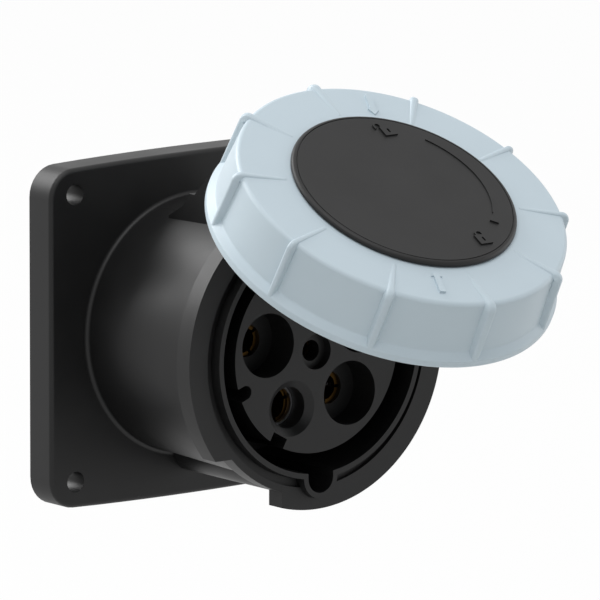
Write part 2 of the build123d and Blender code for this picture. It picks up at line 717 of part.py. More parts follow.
# Screws from inside the lid that join the plate to the cap
with BuildPart() as lid_screws:
    head_seat = plate_under + lid_screw_head
    with BuildSketch(lid_level(head_seat)):
        with Locations(*lid_screw_places):
            Circle(lid_screw_radius)
    extrude(amount=plate_top + lid_screw_bite - head_seat)
    with BuildSketch(lid_level(plate_under)):
        with Locations(*lid_screw_places):
            Circle(lid_screw_head_radius)
    extrude(amount=lid_screw_head)
    with BuildSketch(lid_level(plate_under)):
        with Locations(*lid_screw_places):
            Rectangle(2 * lid_screw_head_radius + cut_margin, driver_slot_width)
            Rectangle(driver_slot_width, 2 * lid_screw_head_radius + cut_margin)
    extrude(amount=driver_slot_depth, mode=Mode.SUBTRACT)
save(lid_screws.part, "lid_screws")

# One grip rib: it rises over the ring's top, turns the corner and runs down the side
with BuildPart() as grip_rib:
    with BuildSketch(lid_section(rib_clock)) as rib_outline:
        with BuildLine():
            Polyline((rib_start, ring_top), (ring_lip_radius, ring_top + rib_rise),
                     (ring_lip_radius, ring_foot + ring_foot_round),
                     (ring_inner_radius + rib_sink, ring_foot + ring_foot_round),
                     (ring_inner_radius + rib_sink, ring_top - rib_sink),
                     (rib_start, ring_top - rib_sink), close=True)
        make_face()
        rib_corner = rib_outline.vertices().sort_by_distance(
            lid_section(rib_clock).from_local_coords((ring_lip_radius, ring_top + rib_rise, 0)))[0]
        fillet(rib_corner, rib_corner_round)
    extrude(amount=rib_width / 2, both=True)
    with BuildSketch(lid_level(ring_foot)):
        with Locations(Location((0, 0), 90 - rib_clock)):
            Polygon((rib_start, -rib_start_width / 2), (ring_lip_radius, -rib_width / 2),
                    (ring_lip_radius, rib_width / 2), (rib_start, rib_start_width / 2), align=None)
    extrude(amount=ring_depth + rib_rise, mode=Mode.INTERSECT)
    # The long edges on both sides of the rib's back are rounded
    rib_plane = lid_section(rib_clock)
    rib_middles = [(edge, rib_plane.to_local_coords(edge @ 0.5)) for edge in grip_rib.edges()]
    fillet([edge for edge, middle in rib_middles
            if abs(middle.Z) > rib_start_width / 2
            and (middle.X > ring_lip_radius - rib_corner_round or middle.Y > ring_top)],
           rib_side_round)

# Bayonet ring: a deep grey cover ring with ten grip ribs and two inner lugs
with BuildPart() as bayonet_ring:
    with BuildSketch(lid_section()) as ring_outline:
        with BuildLine():
            Polyline((ring_neck_hole, ring_top), (ring_top_radius, ring_top),
                     (ring_wall_radius, ring_foot + ring_lip_height + ring_ledge_height),
                     (ring_lip_radius, ring_foot + ring_lip_height), (ring_lip_radius, ring_foot),
                     (ring_inner_radius, ring_foot), (ring_inner_radius, ring_top_under),
                     (ring_neck_hole, ring_top_under), close=True)
        make_face()
        top_corner = ring_outline.vertices().sort_by_distance(
            lid_section().from_local_coords((ring_top_radius, ring_top, 0)))[0]
        fillet(top_corner, ring_top_round)
    revolve(axis=lid_axis)
    for turn in range(rib_count):
        add(grip_rib.part.rotate(lid_axis, 360 / rib_count * turn))
    for angle in ring_lug_clocks:
        with BuildSketch(lid_section(angle + ring_lug_angle / 2)):
            lug_root = ring_inner_radius + ring_lug_sink
            Polygon((ring_lug_radius, lug_front_level), (lug_root, lug_front_level),
                    (lug_root, ring_foot + ring_lug_inset),
                    (ring_lug_radius, ring_foot + ring_lug_inset), align=None)
        revolve(axis=lid_axis, revolution_arc=ring_lug_angle)
save(bayonet_ring.part, "bayonet_ring")
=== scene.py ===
import json
import logging
from dataclasses import dataclass, field
from enum import Enum
from math import acos, asin, atan2, ceil, cos, degrees, radians, sin, sqrt, tan

import bpy
from mathutils import Matrix, Vector


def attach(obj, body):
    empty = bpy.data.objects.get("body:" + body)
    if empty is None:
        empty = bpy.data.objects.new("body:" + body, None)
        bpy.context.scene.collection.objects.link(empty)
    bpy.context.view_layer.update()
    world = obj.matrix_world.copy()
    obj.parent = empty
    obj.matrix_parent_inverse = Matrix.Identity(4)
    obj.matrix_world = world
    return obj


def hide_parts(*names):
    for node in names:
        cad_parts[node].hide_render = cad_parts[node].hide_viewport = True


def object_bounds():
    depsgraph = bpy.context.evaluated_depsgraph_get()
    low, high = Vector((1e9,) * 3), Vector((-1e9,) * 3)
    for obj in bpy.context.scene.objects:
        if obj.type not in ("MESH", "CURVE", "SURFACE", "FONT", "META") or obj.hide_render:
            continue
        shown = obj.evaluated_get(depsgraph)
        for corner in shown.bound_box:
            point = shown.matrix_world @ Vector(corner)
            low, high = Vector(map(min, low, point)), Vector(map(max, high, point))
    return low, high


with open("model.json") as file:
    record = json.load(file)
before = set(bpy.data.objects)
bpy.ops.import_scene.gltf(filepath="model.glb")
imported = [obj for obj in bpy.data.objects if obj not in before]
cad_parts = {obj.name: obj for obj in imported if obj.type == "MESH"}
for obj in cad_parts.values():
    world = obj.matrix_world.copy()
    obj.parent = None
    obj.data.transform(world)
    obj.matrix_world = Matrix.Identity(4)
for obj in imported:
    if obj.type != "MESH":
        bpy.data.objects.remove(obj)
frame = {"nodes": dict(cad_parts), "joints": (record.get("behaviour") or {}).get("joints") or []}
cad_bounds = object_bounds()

MM = 0.001
PHOTO_SIDE = 600
# Sizes are in millimetres, apart from the studio's. Points nearer than this are merged
WELD = 0.002
# A face counts as lying at a level, and as looking along a direction, within these
LEVEL_SLACK = 0.02
FACING = 0.99
# Cutting shapes run past the material by this much
PAST = 1.0
# Faces that would coincide are set apart by this much
APART = 0.02
Piece = bpy.types.Object
Material = bpy.types.Material
Tree = bpy.types.NodeTree
Pair = tuple[float, float]
Triple = tuple[float, float, float]
log = logging.getLogger("panel_socket")


class Body(Enum):
    """The moving groups of the socket."""

    SOCKET = "socket"
    LID = "lid"
    RING = "ring"


class Join(Enum):
    """How one solid acts on another."""

    ADD = "UNION"
    CUT = "DIFFERENCE"


def linear(code: str) -> tuple[float, float, float, float]:
    """Turns an sRGB hex colour into linear values.

    Args:
        code: Six hex digits after a hash sign.

    Returns:
        Red, green, blue and an alpha of 1.
    """
    shares = [int(code[i:i + 2], 16) / 255 for i in (1, 3, 5)]
    lit = [s / 12.92 if s <= 0.04045 else ((s + 0.055) / 1.055) ** 2.4 for s in shares]
    return lit[0], lit[1], lit[2], 1.0


def add_node(tree: Tree, kind: str, settings: dict, inputs: dict) -> bpy.types.Node:
    """Adds one node with its settings and links.

    Args:
        tree: The node tree that gets it.
        kind: Blender's name of the node type.
        settings: Attributes of the node.
        inputs: Value or output socket for each input, by name or number.

    Returns:
        The new node.
    """
    made = tree.nodes.new(kind)
    for key, value in settings.items():
        setattr(made, key, value)
    for key, value in inputs.items():
        if isinstance(value, bpy.types.NodeSocket):
            tree.links.new(value, made.inputs[key])
        else:
            made.inputs[key].default_value = value
    return made


def seen_ray(tree: Tree) -> bpy.types.NodeSocket:
    """Gives 1 to rays of the camera, of gloss and through glass, and 0 to all others.

    Args:
        tree: The node tree that gets the nodes.

    Returns:
        The output with the 1 or 0.
    """
    ray = add_node(tree, "ShaderNodeLightPath", {}, {})
    both = add_node(tree, "ShaderNodeMath", {"operation": "ADD", "use_clamp": True},
                    {0: ray.outputs["Is Camera Ray"], 1: ray.outputs["Is Glossy Ray"]})
    seen = add_node(tree, "ShaderNodeMath", {"operation": "ADD", "use_clamp": True},
                    {0: both.outputs[0], 1: ray.outputs["Is Transmission Ray"]})
    return seen.outputs[0]


def new_material(name: str) -> tuple[Material, Tree]:
    """Makes a material with nodes.

    Args:
        name: Its name.

    Returns:
        The material and its node tree.
    """
    material = bpy.data.materials.new(name)
    material.use_nodes = True
    return material, material.node_tree


def dress(tree: Tree, drift: bpy.types.NodeSocket, colours: tuple[str, str],
          roughness: Pair, bump: bpy.types.Node) -> bpy.types.Node:
    """Drives the main shader's colour and gloss by a slow pattern, and its bump by a fine one.

    Args:
        tree: The material's node tree.
        drift: Output of the slow pattern.
        colours: Hex colours at the slow pattern's low and high end.
        roughness: Roughness where the slow pattern is low and where it is high.
        bump: The node with the fine pattern's relief.

    Returns:
        The main shader.
    """
    shader = tree.nodes["Principled BSDF"]
    tint = add_node(tree, "ShaderNodeMix", {"data_type": "RGBA"},
                    {"Factor": drift, 6: linear(colours[0]), 7: linear(colours[1])})
    gloss = add_node(tree, "ShaderNodeMapRange", {},
                     {"Value": drift, "From Min": 0.3, "From Max": 0.7,
                      "To Min": roughness[0], "To Max": roughness[1]})
    tree.links.new(tint.outputs[2], shader.inputs["Base Color"])
    tree.links.new(gloss.outputs["Result"], shader.inputs["Roughness"])
    tree.links.new(bump.outputs["Normal"], shader.inputs["Normal"])
    return shader


@dataclass(frozen=True)
class MouldedPlastic:
    """Injection-moulded plastic or rubber: an even colour with a faint spark-eroded grain."""

    name: str
    colour: str
    worn: str
    roughness: float
    spread: float
    # A real grain is finer than the photograph's pixels, so it is drawn about as coarse as one
    grain_mm: float
    grain_height_mm: float
    specular: float
    drift_mm: float = 18.0
    strength: float = 0.35
    ior: float = 1.5

    def make(self) -> Material:
        """Builds the material: grain in the bump, slow drift in colour and gloss.

        Returns:
            The material.
        """
        material, tree = new_material(self.name)
        place = add_node(tree, "ShaderNodeTexCoord", {}, {}).outputs["Object"]
        grain = add_node(tree, "ShaderNodeTexNoise", {},
                         {"Vector": place, "Scale": 1 / (self.grain_mm * MM), "Detail": 2.0})
        drift = add_node(tree, "ShaderNodeTexNoise", {},
                         {"Vector": place, "Scale": 1 / (self.drift_mm * MM), "Detail": 3.0})
        bump = add_node(tree, "ShaderNodeBump", {},
                        {"Height": grain.outputs["Fac"], "Strength": self.strength,
                         "Distance": self.grain_height_mm * MM})
        shader = dress(tree, drift.outputs["Fac"], (self.colour, self.worn),
                       (self.roughness - self.spread, self.roughness + self.spread), bump)
        shader.inputs["Specular IOR Level"].default_value = self.specular
        shader.inputs["IOR"].default_value = self.ior
        return material


@dataclass(frozen=True)
class TurnedMetal:
    """Metal turned on a lathe and used or plated: fine rings and a slow tarnish."""

    name: str
    colour: str
    tarnish: str
    roughness: float = 0.34
    spread: Pair = (0.06, 0.1)
    groove_mm: float = 0.3
    groove_height_mm: float = 0.02
    stain_mm: float = 5.0
    strength: float = 0.15
    # Spacing of a wave texture's bands at a scale of 1
    wave: float = 0.314

    def make(self) -> Material:
        """Builds the material: turning marks along the contact's length, and tarnish.

        Returns:
            The material.
        """
        material, tree = new_material(self.name)
        place = add_node(tree, "ShaderNodeTexCoord", {}, {}).outputs["Object"]
        marks = add_node(tree, "ShaderNodeTexWave", {"bands_direction": "Y"},
                         {"Vector": place, "Scale": self.wave / (self.groove_mm * MM),
                          "Distortion": 1.5, "Detail": 2.0})
        stain = add_node(tree, "ShaderNodeTexNoise", {},
                         {"Vector": place, "Scale": 1 / (self.stain_mm * MM), "Detail": 4.0})
        bump = add_node(tree, "ShaderNodeBump", {},
                        {"Height": marks.outputs["Fac"], "Strength": self.strength,
                         "Distance": self.groove_height_mm * MM})
        shader = dress(tree, stain.outputs["Fac"], (self.colour, self.tarnish),
                       (self.roughness - self.spread[0], self.roughness + self.spread[1]), bump)
        shader.inputs["Metallic"].default_value = 1.0
        return material


@dataclass(frozen=True)
class StudioPaper:
    """Seamless paper under the part: white where it is seen, with the part's soft shadow."""

    name: str
    colour: str
    glow: float

    def make(self) -> Material:
        """Builds the material: plain paper that shows white, mixed in by the kind of ray.

        Returns:
            The material.
        """
        material, tree = new_material(self.name)
        tree.nodes.clear()
        paper = add_node(tree, "ShaderNodeBsdfDiffuse", {}, {"Color": linear(self.colour)})
        white = add_node(tree, "ShaderNodeEmission", {}, {"Strength": 1.0})
        share = add_node(tree, "ShaderNodeMath", {"operation": "MULTIPLY"},
                         {0: seen_ray(tree), 1: self.glow})
        mix = add_node(tree, "ShaderNodeMixShader", {},
                       {0: share.outputs[0], 1: paper.outputs[0], 2: white.outputs[0]})
        add_node(tree, "ShaderNodeOutputMaterial", {}, {"Surface": mix.outputs[0]})
        return material


@dataclass(frozen=True)
class Finishes:
    """Every finish of the socket, made once."""

    # Glass-filled polyamide, moulded in black: deep black with a soft satin shine
    black: Material
    # Polyamide, moulded in light blue-grey: pale, with a soft broad highlight
    grey: Material
    # Free-cutting brass, turned: warm yellow, painted darker all over as painted shade for the deep
    # contact holes
    brass: Material
    # Steel, zinc plated: cool grey and slightly dull
    zinc: Material
    # Nitrile rubber, moulded: matte black
    rubber: Material

    @staticmethod
    def make() -> "Finishes":
        """Makes the five finishes from their hex colours and typical values.

        Returns:
            The finishes.
        """
        return Finishes(
            black=MouldedPlastic("black_polyamide", "#101011", "#151515", roughness=0.46,
                                 spread=0.04, grain_mm=0.45, grain_height_mm=0.012,
                                 specular=0.32).make(),
            grey=MouldedPlastic("grey_polyamide", "#BECCD4", "#BAC8D0", roughness=0.4,
                                spread=0.03, grain_mm=0.5, grain_height_mm=0.010,
                                specular=0.4).make(),
            # Both brass colours are painted darker than bright brass: painted shade for the dark
            # depth of the contact holes
            brass=TurnedMetal("turned_brass_with_painted_shade", "#806130", "#46331A").make(),
            zinc=TurnedMetal("zinc_plated_steel", "#BFC0C2", "#9A9B9E").make(),
            rubber=MouldedPlastic("nitrile_rubber", "#171717", "#1C1C1C", roughness=0.68,
                                  spread=0.05, grain_mm=0.3, grain_height_mm=0.02,
                                  specular=0.35).make())


@dataclass(frozen=True)
class Datum:
    """An origin and three directions, on which sizes in millimetres are laid out."""

    origin: Vector
    right: Vector
    up: Vector
    out: Vector

    def at(self, right: float, up: float, out: float) -> Vector:
        """Gives the place, in metres, of three sizes in millimetres."""
        return self.origin + (self.right * right + self.up * up + self.out * out) * MM

    def clock(self, angle: float, radius: float, out: float) -> Vector:
        """Gives the place at a clock angle and a radius, seen from outside."""
        return self.at(radius * sin(radians(angle)), radius * cos(radians(angle)), out)

    def turned(self, angle: float) -> "Datum":
        """Gives this datum turned clockwise by an angle, seen from outside."""
        a = radians(angle)
        return Datum(self.origin, self.right * cos(a) - self.up * sin(a),
                     self.up * cos(a) + self.right * sin(a), self.out)


def lid_datum() -> Datum:
    """Finds the lid's datum from the ring's joint: its centre and its outward axis.

    Returns:
        The datum on the lid's axis, with the hinge at the top.
    """
    joint = next(j for j in frame["joints"] if j["name"] == "ring_turn")
    out = -Vector(joint["axis"]).normalized()
    right = Vector((1, 0, 0))
    return Datum(Vector(joint["pos_m"]), right, out.cross(right), out)


FRONT = Datum(Vector((0, 0, 0)), Vector((1, 0, 0)), Vector((0, 0, 1)), Vector((0, -1, 0)))
SIDE = Datum(Vector((0, 0, 0)), Vector((0, -1, 0)), Vector((0, 0, 1)), Vector((1, 0, 0)))
LID = lid_datum()


def rounded(corners: list[Triple], facets: int = 6) -> list[tuple]:
    """Rounds the corners of a closed outline.

    Args:
        corners: First size, second size and rounding radius of each corner.
        facets: Straight steps in a quarter turn.

    Returns:
        The points of the outline.
    """
    points = []
    count = len(corners)
    for i, (x, y, radius) in enumerate(corners):
        here = Vector((x, y))
        if radius == 0:
            points.append((x, y))
            continue
        back = (Vector(corners[i - 1][:2]) - here).normalized()
        ahead = (Vector(corners[(i + 1) % count][:2]) - here).normalized()
        half = back.angle(ahead) / 2
        centre = here + (back + ahead).normalized() * (radius / sin(half))
        start = here + back * (radius / tan(half)) - centre
        end = here + ahead * (radius / tan(half)) - centre
        turn = atan2(start.cross(end), start.dot(end))
        steps = max(2, ceil(facets * abs(degrees(turn)) / 90))
        for k in range(steps + 1):
            a = turn * k / steps
            points.append((centre.x + start.x * cos(a) - start.y * sin(a),
                           centre.y + start.x * sin(a) + start.y * cos(a)))
    return points


def arc(radius: float, start: float, end: float, steps: int) -> list[tuple]:
    """Gives points on a circle between two clock angles, seen from outside."""
    angles = [radians(start + (end - start) * k / steps) for k in range(steps + 1)]
    return [(radius * sin(a), radius * cos(a)) for a in angles]


def half_round(x: float, y: float, radius: float, side: int, steps: int = 30) -> list[tuple]:
    """Gives points on a half circle, from right to left.

    Args:
        x: Place of its centre to the right.
        y: Height of its centre.
        radius: Its radius.
        side: 1 for the upper half and -1 for the lower one.
        steps: Steps along it.

    Returns:
        The points.
    """
    angles = [radians(180 * k / steps) for k in range(steps + 1)]
    return [(x + radius * cos(a), y + side * radius * sin(a)) for a in angles]


def key_outline(radius: float, half_width: float, centre: float, steps: int,
                end_steps: int = 18, end_gap: float = 3.0) -> list[tuple]:
    """Outlines a circle with a round-ended key at six o'clock.

    Args:
        radius: Radius of the circle.
        half_width: Half the key's width, and the radius of its end.
        centre: Distance of the key's end centre below the circle's centre.
        steps: Steps round the circle.
        end_steps: Steps round the key's end.
        end_gap: Angle by which the key's end keeps clear of the circle.

    Returns:
        The points, clockwise from the key's left side.
    """
    level = (radius ** 2 + centre ** 2 - half_width ** 2) / (2 * centre)
    half_angle = degrees(acos(level / radius))
    upper = arc(radius, -180 + half_angle, 180 - half_angle, steps)
    first = degrees(asin((level - centre) / half_width)) + end_gap
    turns = [radians(first + (180 - 2 * first) * k / end_steps) for k in range(end_steps + 1)]
    return upper + [(half_width * cos(a), -centre - half_width * sin(a)) for a in turns]


def clear_selection() -> None:
    """Leaves edit mode and deselects everything."""
    if bpy.context.object and bpy.context.object.mode == "EDIT":
        bpy.ops.object.mode_set(mode="OBJECT")
    bpy.ops.object.select_all(action="DESELECT")


def choose(piece: Piece) -> None:
    """Makes one piece the only selected and the active one.

    Args:
        piece: The piece.
    """
    clear_selection()
    piece.select_set(True)
    bpy.context.view_layer.objects.active = piece


def edit(piece: Piece, kind: str) -> None:
    """Opens a piece in edit mode with all of it deselected.

    Args:
        piece: The piece to edit.
        kind: VERT, EDGE or FACE, the kind of element to work on.
    """
    choose(piece)
    bpy.ops.object.mode_set(mode="EDIT")
    bpy.ops.mesh.select_mode(type=kind)
    bpy.ops.mesh.select_all(action="DESELECT")


def pick_faces(piece: Piece, direction: Vector, out: float, datum: Datum) -> None:
    """Selects the faces that look along a direction at one level of a datum.

    Args:
        piece: The piece, in edit mode.
        direction: The way the faces look.
        out: Their level along the datum's outward direction.
        datum: The datum that the level is measured on.
    """
    bpy.ops.object.mode_set(mode="OBJECT")
    for face in piece.data.polygons:
        level = (face.center - datum.origin).dot(datum.out) / MM
        face.select = face.normal.dot(direction) > FACING and abs(level - out) < LEVEL_SLACK
    bpy.ops.object.mode_set(mode="EDIT")


def weld() -> None:
    """Merges the points that coincide and selects everything, in edit mode."""
    bpy.ops.mesh.select_all(action="SELECT")
    bpy.ops.mesh.remove_doubles(threshold=WELD * MM)
    bpy.ops.mesh.select_all(action="SELECT")


def close_edit(piece: Piece) -> Piece:
    """Merges doubles, turns the faces outwards and leaves edit mode.

    Args:
        piece: The piece, in edit mode.

    Returns:
        The piece.
    """
    weld()
    bpy.ops.mesh.normals_make_consistent(inside=False)
    bpy.ops.object.mode_set(mode="OBJECT")
    return piece


def trace(name: str, places: list[Vector]) -> Piece:
    """Draws a closed line by extruding one vertex from place to place.

    Args:
        name: Name of the new piece.
        places: The corners of the line, in metres.

    Returns:
        The piece, in edit mode, with the line selected.
    """
    clear_selection()
    bpy.ops.mesh.primitive_plane_add(size=MM, location=(0, 0, 0))
    piece = bpy.context.object
    piece.name = piece.data.name = name
    bpy.ops.object.mode_set(mode="EDIT")
    bpy.ops.mesh.select_mode(type="VERT")
    bpy.ops.mesh.select_all(action="SELECT")
    bpy.ops.mesh.merge(type="CENTER")
    bpy.ops.transform.translate(value=places[0])
    for here, there in zip(places, places[1:] + places[:1]):
        bpy.ops.mesh.extrude_vertices_move(TRANSFORM_OT_translate={"value": there - here})
    weld()
    return piece


def spun(name: str, datum: Datum, profile: list[tuple], steps: int,
         start: float = 0.0, sweep: float = 360.0) -> Piece:
    """Spins a closed profile about a datum's outward axis.

    Args:
        name: Name of the new piece.
        datum: The datum that the profile is laid on.
        profile: Radius and level of each point.
        steps: Steps of the spin.
        start: Clock angle where the spin starts.
        sweep: Angle of the spin, clockwise from outside.

    Returns:
        The closed piece.
    """
    piece = trace(name, [datum.clock(start, r, out) for r, out in profile])
    bpy.ops.mesh.spin(steps=steps, angle=radians(sweep), center=datum.origin,
                      axis=datum.out, use_auto_merge=False)
    weld()
    if sweep < 360:
        bpy.ops.mesh.fill_holes(sides=0)
        bpy.ops.mesh.select_all(action="SELECT")
    bpy.ops.mesh.delete_loose(use_verts=True, use_edges=True, use_faces=False)
    return close_edit(piece)


def prism(name: str, datum: Datum, outline: list[tuple], low: float, high: float,
          edge_round: float = 0.0) -> Piece:
    """Extrudes a closed outline between two levels of a datum.

    Args:
        name: Name of the new piece.
        datum: The datum that the outline is laid on.
        outline: Sizes to the right and up of each corner.
        low: Level of the back face.
        high: Level of the front face.
        edge_round: Rounding of the front face's edges.

    Returns:
        The closed piece.
    """
    piece = trace(name, [datum.at(x, y, low) for x, y in outline])
    bpy.ops.mesh.extrude_region_move(
        TRANSFORM_OT_translate={"value": datum.out * (high - low) * MM})
    bpy.ops.mesh.select_all(action="SELECT")
    bpy.ops.mesh.fill_holes(sides=0)
    close_edit(piece)
    if edge_round:
        edit(piece, "FACE")
        pick_faces(piece, datum.out, high, datum)
        bpy.ops.mesh.bevel(offset=edge_round * MM, segments=4, affect="EDGES")
        close_edit(piece)
    return piece


def rod(name: str, datum: Datum, place: Pair, radius: float,
        low: float, high: float, sides: int = 96) -> Piece:
    """Adds a round bar along a datum's outward axis.

    Args:
        name: Name of the new piece.
        datum: The datum that its place is measured on.
        place: Sizes to the right and up of its axis.
        radius: Its radius.
        low: Level of one end.
        high: Level of the other end.
        sides: Number of its sides.

    Returns:
        The bar.
    """
    clear_selection()
    turn = Matrix((datum.right, datum.out.cross(datum.right), datum.out)).transposed()
    bpy.ops.mesh.primitive_cylinder_add(
        vertices=sides, radius=radius * MM, depth=(high - low) * MM,
        location=datum.at(place[0], place[1], (low + high) / 2), rotation=turn.to_euler())
    piece = bpy.context.object
    piece.name = piece.data.name = name
    bpy.ops.object.transform_apply(location=True, rotation=True, scale=True)
    return piece


def combine(piece: Piece, tools: list[Piece], how: Join) -> None:
    """Adds solids to a piece or cuts them out of it.

    Args:
        piece: The piece that changes.
        tools: The solids, which are used up.
        how: Add or cut.
    """
    for tool in tools:
        choose(piece)
        step = piece.modifiers.new("step", "BOOLEAN")
        step.object = tool
        step.operation = how.value
        step.solver = "EXACT"
        bpy.ops.object.modifier_apply(modifier=step.name)
        bpy.data.objects.remove(tool)


def soften(piece: Piece, width: float, angle: float = 40.0, segments: int = 2) -> None:
    """Rounds the sharp edges of a piece slightly, as a mould does.

    Args:
        piece: The piece to soften.
        width: Width of the rounding.
        angle: Edges sharper than this are rounded.
        segments: Steps across the rounding.
    """
    choose(piece)
    step = piece.modifiers.new("edges", "BEVEL")
    step.width = width * MM
    step.segments = segments
    step.limit_method = "ANGLE"
    step.angle_limit = radians(angle)
    step.use_clamp_overlap = True
    bpy.ops.object.modifier_apply(modifier=step.name)


def shade(piece: Piece, angle: float = 32.0) -> None:
    """Shades a piece smooth, with sharp edges sharp and flat faces flat.

    Args:
        piece: The piece to shade.
        angle: Edges sharper than this stay sharp.
    """
    choose(piece)
    bpy.ops.object.shade_smooth_by_angle(angle=radians(angle))
    step = piece.modifiers.new("normals", "WEIGHTED_NORMAL")
    step.keep_sharp = True
    bpy.ops.object.modifier_apply(modifier=step.name)


def finish_piece(piece: Piece, body: Body, material: Material,
                 replaces: tuple[str, ...]) -> Piece:
    """Dresses a piece and fixes it to its body.

    Args:
        piece: The finished mesh.
        body: The body that it rides on.
        material: Its finish.
        replaces: The CAD nodes that it stands for.

    Returns:
        The piece.
    """
    clear_selection()
    piece.data.materials.clear()
    piece.data.materials.append(material)
    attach(piece, body.value)
    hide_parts(*replaces)
    log.info("%s: %d faces on %s", piece.name, len(piece.data.polygons), body.value)
    return piece


@dataclass
class Housing:
    """The black moulding: flange, barrel, collar, sealing lip and hinge bracket."""

    finishes: Finishes
    steps: int = 240
    flange_half_width: float = 55.0
    flange_half_height: float = 53.5
    flange_crown: float = 1.0
    crown_step: float = 9.0
    flange_thickness: float = 11.0
    flange_corner: float = 9.5
    flange_round: float = 1.4
    flange_rim: float = 3.2
    front_wall: float = 3.5
    land_radius: float = 49.6
    hole_place: float = 45.5
    hole_radius: float = 3.3
    boss_radius: float = 6.5
    hole_sides: int = 48
    through: Pair = (-2.0, 20.0)
    groove: Triple = (43.6, 47.6, 2.0)
    barrel_root: float = 40.7
    barrel_end: float = 42.5
    rim_radius: float = 44.9
    root_fillet: float = 1.5
    fillet_shape: Pair = (0.3, 0.8)
    # Radius and level inside the material where added forms begin
    core: Pair = (20.0, 6.0)
    foot: Pair = (4.0, 0.2)
    rim_round: float = 0.3
    lap: float = 0.1
    collar_front: float = 74.8
    collar_radius: float = 49.7
    lug_back: float = 68.3
    notch: Pair = (13.6, 30.2)
    lip_height: float = 2.2
    lip_root: float = 2.0
    lip_draft: float = 0.3
    lip_sink: float = 4.0
    channel_radius: float = 42.6
    channel_depth: float = 1.6
    shroud_radius: float = 38.0
    # A radius well inside the shroud's opening, where the shapes of its edge begin
    inside: float = 30.0
    ledge: Triple = (29.0, 36.0, 32.2)
    rear_bore: float = 37.5
    keyway_half_width: float = 4.85
    key_centre: float = 39.35
    bump_wall: float = 2.7
    pin: Pair = (53.7, 55.4)
    pin_bore: float = 2.02
    pin_reach: float = 20.0
    # Distance in front and height of the corners on the pad's ramp, and of its far corner
    pad_ramp: tuple[Pair, ...] = ((23.0, 37.7), (30.4, 41.8), (33.4, 46.0))
    pad_end: Pair = (62.0, 34.7)
    pad_round: float = 0.6
    ear_foot: Triple = (34.0, 60.0, 44.0)
    ear_peak: Pair = (57.88, 66.48)
    ear_round: float = 5.2
    ear_sides: Pair = (12.0, 18.0)
    edge_round: float = 0.35

    def flange(self) -> Piece:
        """Makes the flange with its crowned outline, pockets behind it and screw holes.

        Returns:
            The flange, to which the housing's other forms are added.
        """
        w, h, corner = self.flange_half_width, self.flange_half_height, self.flange_corner
        crown = [k * self.crown_step for k in range(-4, 5)]
        top = [(x, h + self.flange_crown * (1 - (x / w) ** 2), 0.0) for x in crown]
        bottom = [(-x, -y, 0.0) for x, y, _ in top]
        corners = [(-w, -h, corner), (-w, h, corner), *top,
                   (w, h, corner), (w, -h, corner), *bottom]
        plate = prism("housing", FRONT, rounded(corners, facets=8), 0, self.flange_thickness,
                      self.flange_round)
        rim = self.flange_rim
        inner = [(-w + rim, -h + rim, corner - rim), (-w + rim, h - rim, corner - rim),
                 (w - rim, h - rim, corner - rim), (w - rim, -h + rim, corner - rim)]
        pocket = prism("pocket", FRONT, rounded(inner), -PAST,
                       self.flange_thickness - self.front_wall)
        spots = [(x * self.hole_place, z * self.hole_place) for x in (-1, 1) for z in (-1, 1)]
        keep = [rod("land", FRONT, (0, 0), self.land_radius, *self.through, self.steps)]
        keep += [rod("boss", FRONT, spot, self.boss_radius, *self.through, self.hole_sides)
                 for spot in spots]
        combine(pocket, keep, Join.CUT)
        holes = [rod("hole", FRONT, spot, self.hole_radius, *self.through, self.hole_sides)
                 for spot in spots]
        combine(plate, [pocket, *holes], Join.CUT)
        return plate

    def barrel(self) -> Piece:
        """Makes the barrel with its root fillet, its slight draft and the rim at the collar.

        Returns:
            The barrel, still solid inside.
        """
        root, t, f = self.barrel_root, self.flange_thickness, self.root_fillet
        (core, inside), (wide, sink), (lean, blend) = self.core, self.foot, self.fillet_shape
        back, front = self.lug_back + self.lap, self.collar_front - APART
        corners = [(core, inside, 0), (root + wide, inside, 0), (root + wide, t - sink, 0),
                   (root + f, t, 0), (root + lean * f, t + lean * f, blend * f),
                   (root, t + f, 0), (self.barrel_end, back, self.rim_round),
                   (self.rim_radius, back, self.rim_round), (self.rim_radius, front, 0),
                   (core, front, 0)]
        return spun("barrel", FRONT, rounded(corners, facets=10), self.steps)

    def bump(self) -> Piece:
        """Makes the half-round bump that holds the keyway.

        Returns:
            The bump.
        """
        radius = self.keyway_half_width + self.bump_wall
        outline = half_round(0.0, -self.key_centre, radius, -1)
        return prism("bump", FRONT, [(radius, -self.inside), *outline, (-radius, -self.inside)],
                     self.core[1], self.collar_front - 2 * APART)

    def collar(self) -> Piece:
        """Makes the collar's two bayonet lugs with the notches between them.

        Returns:
            The collar.
        """
        r, side, level = self.collar_radius, *self.notch
        first = degrees(atan2(side, sqrt(r * r - side * side)))
        last = 90 - degrees(atan2(level, sqrt(r * r - level * level)))
        lower = arc(r, last, 180 + first, self.steps // 3)
        upper = arc(r, 180 + last, 360 + first, self.steps // 3)
        outline = [*lower, (-side, -level), *upper, (side, level)]
        return prism("collar", FRONT, outline, self.lug_back, self.collar_front)

    def lip(self) -> Piece:
        """Makes the tapered sealing lip round the mouth and its keyway.

        Returns:
            The lip.
        """
        outline = key_outline(self.shroud_radius + self.lip_root,
                              self.keyway_half_width + self.lip_root, self.key_centre,
                              self.steps * 3 // 4)
        foot = self.collar_front - self.lap
        made = prism("lip", FRONT, outline, foot - self.lip_sink, foot)
        edit(made, "FACE")
        pick_faces(made, FRONT.out, foot, FRONT)
        bpy.ops.mesh.inset(thickness=self.lip_draft * MM, depth=(self.lip_height + self.lap) * MM)
        return close_edit(made)

    def channel(self) -> Piece:
        """Makes the solid of the narrow channel that is sunk round the sealing lip.

        Returns:
            The solid to cut out.
        """
        floor, end = self.collar_front - self.channel_depth, self.collar_front + PAST
        profile = [(self.inside, floor), (self.channel_radius, floor),
                   (self.channel_radius, end), (self.inside, end)]
        return spun("channel", FRONT, profile, self.steps)

